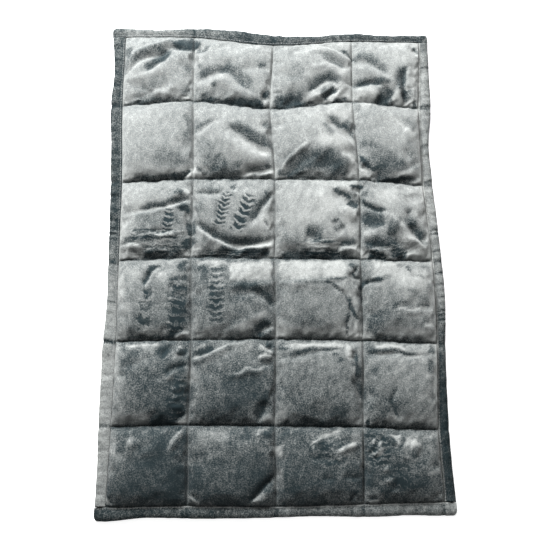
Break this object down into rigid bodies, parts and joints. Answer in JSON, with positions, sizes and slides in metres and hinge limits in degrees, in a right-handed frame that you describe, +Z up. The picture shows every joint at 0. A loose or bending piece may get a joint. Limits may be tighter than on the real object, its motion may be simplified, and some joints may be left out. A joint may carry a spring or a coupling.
{
  "type": "weighted lap pad",
  "caption": "Quilted plush lap pad of filled square pockets with a folded plush binding, lying flat, to rest on the lap as a soft weight.",
  "frame": {"origin": "centre of the pad's footprint, on the surface it lies on", "axes": "+X across the pad, +Y towards its head (the far end in the picture), +Z up"},
  "size_m": [0.416, 0.625, 0.0216],
  "materials": {
    "pad_plush": "short brushed plush, grey",
    "binding_plush": "short brushed plush, grey"
  },
  "bodies": {
    "root": {"quilted_pad": "pad_plush", "binding_left": "binding_plush", "binding_right": "binding_plush", "binding_head": "binding_plush", "binding_foot": "binding_plush"}
  },
  "joints": []
}
